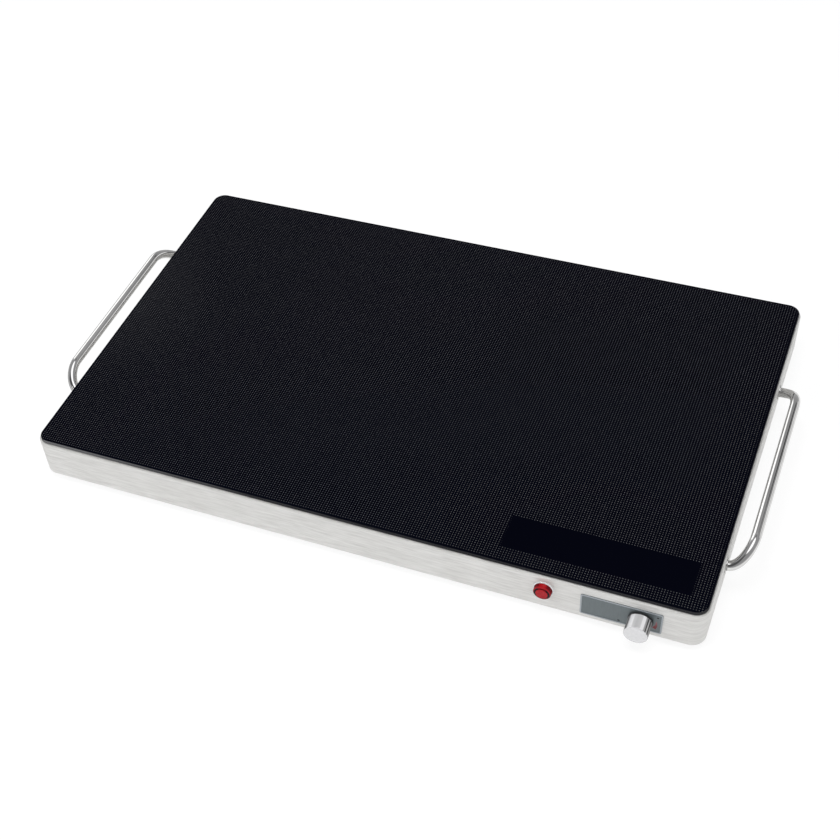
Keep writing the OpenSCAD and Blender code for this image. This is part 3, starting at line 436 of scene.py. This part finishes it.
# The finish of each material slot, and of the prints on the control plate
MATERIALS = {name: plain(name, *finish) for name, finish in PLAIN.items()}
MATERIALS.update(body_steel=brushed_steel(), black_glass=black_glass(),
                 handle_steel=polished_steel(), control_grey=control_grey(),
                 knob_chrome=knob_chrome(), lens_red=lens_red(), wedge_red=wedge_red())


def dress_nodes():
    """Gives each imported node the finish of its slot."""
    for part in frame["record"]["subparts"]:
        data = nodes[part["node"]].data
        data.materials.clear()
        data.materials.append(MATERIALS[part["material_slot"]])


# ------------------------------------------------------------------- new pieces

def piece(name, bm, finish, body=BODY, smooth=True):
    """A visible piece that rides on a body and shows one finish."""
    mesh = bpy.data.meshes.new(name)
    bm.normal_update()
    bm.to_mesh(mesh)
    bm.free()
    mesh.materials.append(MATERIALS[finish])
    for poly in mesh.polygons:
        poly.use_smooth = smooth
    obj = bpy.data.objects.new(name, mesh)
    bpy.context.scene.collection.objects.link(obj)
    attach(obj, body)
    return obj


def skin(bm, rings):
    """Joins rings of vertices, of which any may be a single point, into one surface."""
    for low, high in zip(rings, rings[1:]):
        count = max(len(low), len(high))
        for k in range(count):
            j = (k + 1) % count
            if len(high) == 1:
                bm.faces.new((low[k], low[j], high[0]))
            elif len(low) == 1:
                bm.faces.new((low[0], high[j], high[k]))
            else:
                bm.faces.new((low[k], low[j], high[j], high[k]))


def revolve(profile, x, y, z, steps):
    """Turns points, each a radius and a reach in millimetres, round the axis that leaves the
    place x, y, z forward."""
    bm = bmesh.new()
    rings = []
    for radius, reach in profile:
        r, d = radius * MM, reach * MM
        turns = [2 * math.pi * k / steps for k in range(steps)] if r else [0]
        rings.append([bm.verts.new((x + r * math.cos(a), y - d, z + r * math.sin(a)))
                      for a in turns])
    skin(bm, rings)
    bmesh.ops.recalc_face_normals(bm, faces=bm.faces)
    return bm


def slab(outline):
    """A thin print on the control plate, from its outline in x and z."""
    bm = bmesh.new()
    rings = [[bm.verts.new((x, y, z)) for x, z in outline]
             for y in (FIELD_Y + 0.02 * MM, FIELD_Y - 0.03 * MM)]
    for ring in rings:
        bm.faces.new(ring)
    skin(bm, rings)
    bmesh.ops.recalc_face_normals(bm, faces=bm.faces)
    return bm


def scale_marks():
    """The start and end dots of the scale and its red wedge, printed on the control plate."""
    count = 24
    for name, right, up, r in SCALE_DOTS:
        turns = [2 * math.pi * k / count for k in range(count)]
        # Printed a quarter wider than high
        ring = [(KNOB_X + (right + 1.25 * r * math.cos(a)) * MM,
                 KNOB_Z + (up + r * math.sin(a)) * MM) for a in turns]
        piece(name, slab(ring), "mark_ink", smooth=False)

    outer, inner = [], []
    for k in range(count + 1):
        t = k / count
        a = math.radians(WEDGE_TURNS[0] + (WEDGE_TURNS[1] - WEDGE_TURNS[0]) * t)
        half = WEDGE_HALF[0] + (WEDGE_HALF[1] - WEDGE_HALF[0]) * t
        for side, r in ((outer, (WEDGE_R + half) * MM), (inner, (WEDGE_R - half) * MM)):
            side.append((KNOB_X + r * math.cos(a), KNOB_Z + r * math.sin(a)))
    piece("mark_wedge", slab(outer + inner[::-1]), "wedge_red", smooth=False)


def pilot_lens():
    """The lens as a cap: a barrel with a rounded edge, a ledge, a groove and a pebbled face."""
    rise = (bezel_lo.y - lens_lo.y) / MM
    rim = ((lens_hi.x - lens_lo.x) / 2 - ROUND_INSET) / MM
    bottom = rise - GROOVE_DEPTH
    barrel = [(rim * 0.7, -0.3), (rim, -0.05), (rim, 0.3), (rim - 0.2, 0.5),
              (rim - 0.3, rise - BARREL_DEPTH)]
    ledge = [(rim - 0.4, rise - 1.25), (rim - 0.8, rise - 0.85), (rim - 1.75, rise - 0.7)]
    groove = [(rim - 1.9, bottom), (LENS_FACE + 0.1, bottom)]
    shoulder = [(LENS_FACE, rise - 0.35), (LENS_FACE - 0.25, rise - 0.1)]
    # The face is a set of rings that rise and fall a little, in no even rhythm
    count, middle, wave, rhythm = 14, rise - 0.13, 0.07, 1.9
    face = [((LENS_FACE - 0.4) * (1 - k / count), middle + wave * math.sin(k * rhythm))
            for k in range(1, count)]
    profile = barrel + ledge + groove + shoulder + face + [(0, middle)]
    bm = revolve(profile, PILOT_X, bezel_lo.y, PILOT_Z, 64)

    pebble, waves_x, waves_z = 0.06 * MM, 6100, 5900
    for v in bm.verts:
        if 0 < math.hypot(v.co.x - PILOT_X, v.co.z - PILOT_Z) < (LENS_FACE - 0.5) * MM:
            v.co.y += pebble * math.sin(v.co.x * waves_x) * math.sin(v.co.z * waves_z)
    obj = piece("pilot_cap", bm, "lens_red")
    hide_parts("pilot_lens")


def knob_grip():
    """The knob as a grip of many narrow flats with a rounded front, over a black ring at its foot
    that is painted shade for the gap at the plate.
    """
    reach = (knob_hi.y - knob_lo.y) / MM
    skirt = ((knob_hi.x - knob_lo.x) / 2 - ROUND_INSET) / MM
    grip, front = skirt - 0.42, skirt - 0.32
    # Black ring at the foot of the knob: painted shade for the gap between knob and plate
    shade_ring = [(grip - 3.2, 0.05), (skirt, 0.05), (skirt, 0.85), (skirt - 0.3, 1.25),
            (grip - 0.6, 1.25)]
    piece("knob_shade_ring", revolve(shade_ring, KNOB_X, knob_hi.y, KNOB_Z, 96), "black_plastic",
          DIAL)
    flats = [(grip - 0.7, 1.2), (grip, 1.35), (front, reach - 0.75)]
    nose = [(front - 0.12, reach - 0.35), (front - 0.4, reach - 0.1),
            (front - 0.75, reach - 0.02), (0, reach - 0.02)]
    bm = revolve(flats + nose, KNOB_X, knob_hi.y, KNOB_Z, 60)
    obj = piece("knob_grip", bm, "knob_chrome", DIAL, smooth=False)
    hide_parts("knob")


def sweep(path, radii, steps=40):
    """A round bar along a path that never runs upright."""
    bm = bmesh.new()
    rings = []
    turns = [2 * math.pi * j / steps for j in range(steps)]
    for k, (point, radius) in enumerate(zip(path, radii)):
        ahead = (path[min(k + 1, len(path) - 1)] - path[max(k - 1, 0)]).normalized()
        side = ahead.cross(Vector((0, 0, 1))).normalized()
        up = side.cross(ahead)
        rings.append([bm.verts.new(point + radius * (math.cos(a) * side + math.sin(a) * up))
                      for a in turns])
    skin(bm, rings)
    bm.faces.new(rings[0])
    bm.faces.new(rings[-1])
    bmesh.ops.recalc_face_normals(bm, faces=bm.faces)
    return bm


def bezier(a, b, c, d, t):
    """A point of the curve from a to d that b and c pull."""
    s = 1 - t
    return a * s ** 3 + b * 3 * t * s ** 2 + c * 3 * t * t * s + d * t ** 3


def handle_bar(node, side):
    """A handle whose tilt and bend run into each other in one smooth curve at each end."""
    lo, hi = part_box(node)
    washer_lo, washer_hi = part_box("handle_washers")
    leg_z = (washer_lo.z + washer_hi.z) / 2
    face = washer_hi.x if side > 0 else washer_lo.x
    stud = (lo.x if side > 0 else hi.x) + side * LAP
    bar_x = (hi.x if side > 0 else lo.x) - side * (BAR_R + BAR_INSET)
    bar_z = hi.z - BAR_R - BAR_INSET
    path, radii = [], []
    for end, y in ((1, lo.y + BAR_R + BAR_INSET), (-1, hi.y - BAR_R - BAR_INSET)):
        leg = Vector((face - side * LAP, y, leg_z))
        grip = Vector((bar_x, y + end * BEND, bar_z))
        pulls = (leg + Vector((side * LEG_PULL, 0, 0)), grip - Vector((0, end * GRIP_PULL, 0)))
        points = [Vector((stud, y, leg_z)), Vector((face - side * 2 * LAP, y, leg_z))]
        points += [bezier(leg, *pulls, grip, k / BEND_STEPS) for k in range(BEND_STEPS + 1)]
        sizes = [STUD_R] * 2 + [BAR_R] * (BEND_STEPS + 1)
        path += points[::end]
        radii += sizes[::end]
    obj = piece(node + "_bar", sweep(path, radii), "handle_steel")
    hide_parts(node)


# ------------------------------------------------------------------------ stage

def studio():
    """A white surround for the camera, and soft boxes around the object for its gloss."""
    world = bpy.data.worlds.new("studio")
    g = Graph(world, "Generated")
    x, y, z = g.split()
    turn = g.math("ARCTAN2", y, x)
    glow = g.ramp(z, SKY, 1.02)
    for turns, turn_soft, heights, height_soft, color in SKY_PATCHES:
        start, end = (math.radians(a) for a in turns)
        patch = g.times(g.window(turn, start, end, turn_soft), g.window(z, *heights, height_soft))
        glow = g.mix(patch, glow, color)
    path = g.tree.nodes.new("ShaderNodeLightPath")
    white = g.mix(path.outputs["Is Camera Ray"], glow, (1.0, 1.0, 1.0))
    g.put(g.tree.nodes["Background"].inputs[0], white)
    return world


def floor_material():
    """Pale floor that reads white to the camera, and falls off with distance in metal."""
    g = material("floor_white")
    tree = g.tree
    tree.nodes.remove(g.bsdf)
    path = tree.nodes.new("ShaderNodeLightPath")
    x, y = g.split()[:2]
    near, bright = FLOOR_NEAR
    far, dull = FLOOR_FAR
    gloss = g.range(g.length(x, y), near, far, bright, dull)
    beside = g.times(g.range(x, *BESIDE_X), g.range(y, *BESIDE_Y))
    again = g.math("GREATER_THAN", path.outputs["Glossy Depth"], 1.5)
    gloss = g.dim(g.dim(gloss, beside, BESIDE_SHARE), again, AGAIN_SHARE)

    def lit(albedo, strength):
        """A diffuse floor with a glow of its own."""
        soft = tree.nodes.new("ShaderNodeBsdfDiffuse")
        soft.inputs["Color"].default_value = (albedo, albedo, albedo, 1)
        glow = tree.nodes.new("ShaderNodeEmission")
        g.put(glow.inputs["Strength"], strength)
        add = tree.nodes.new("ShaderNodeAddShader")
        tree.links.new(soft.outputs[0], add.inputs[0])
        tree.links.new(glow.outputs[0], add.inputs[1])
        return add.outputs[0]

    last = lit(FLOOR_ALBEDO, 0.0)
    for ray, albedo, strength in (("Is Glossy Ray", GLOSS_ALBEDO, gloss),
                                  ("Is Camera Ray", SEEN_ALBEDO, SEEN_GLOW)):
        mix = tree.nodes.new("ShaderNodeMixShader")
        tree.links.new(path.outputs[ray], mix.inputs[0])
        tree.links.new(last, mix.inputs[1])
        tree.links.new(lit(albedo, strength), mix.inputs[2])
        last = mix.outputs[0]
    tree.links.new(last, tree.nodes["Material Output"].inputs["Surface"])
    return g.owner


def stage():
    """Plain view settings, the surround, and a round floor under the object."""
    scene = bpy.context.scene
    scene.view_settings.view_transform = "Standard"
    scene.world = studio()
    bm = bmesh.new()
    bmesh.ops.create_circle(bm, cap_ends=True, radius=FLOOR_R, segments=96)
    mesh = bpy.data.meshes.new("floor")
    bm.to_mesh(mesh)
    bm.free()
    mesh.materials.append(floor_material())
    floor = bpy.data.objects.new("floor", mesh)
    scene.collection.objects.link(floor)


def lamp(name, place, size, power):
    """A soft rectangular lamp that doesn't show in gloss."""
    light = bpy.data.lights.new(name, "AREA")
    light.shape = "RECTANGLE"
    light.size, light.size_y = size
    light.energy = power
    obj = bpy.data.objects.new(name, light)
    bpy.context.scene.collection.objects.link(obj)
    obj.location = place
    obj.rotation_euler = (-Vector(place)).to_track_quat("-Z", "Y").to_euler()
    obj.visible_glossy = False


def camera():
    """The view of the photograph."""
    data = bpy.data.cameras.new("camera")
    data.lens = CAMERA_LENS
    data.sensor_width = CAMERA_SENSOR
    data.shift_x, data.shift_y = CAMERA_SHIFT
    data.clip_end = 50
    obj = bpy.data.objects.new("camera", data)
    bpy.context.scene.collection.objects.link(obj)
    turn = Matrix(CAMERA_AXES).transposed().to_4x4()
    obj.matrix_world = Matrix.Translation(CAMERA_PLACE) @ turn
    bpy.context.scene.camera = obj


dress_nodes()
scale_marks()
pilot_lens()
knob_grip()
handle_bar("handle_right", 1)
handle_bar("handle_left", -1)
stage()
for lamp_name, setting in LAMPS.items():
    lamp(lamp_name, *setting)
camera()
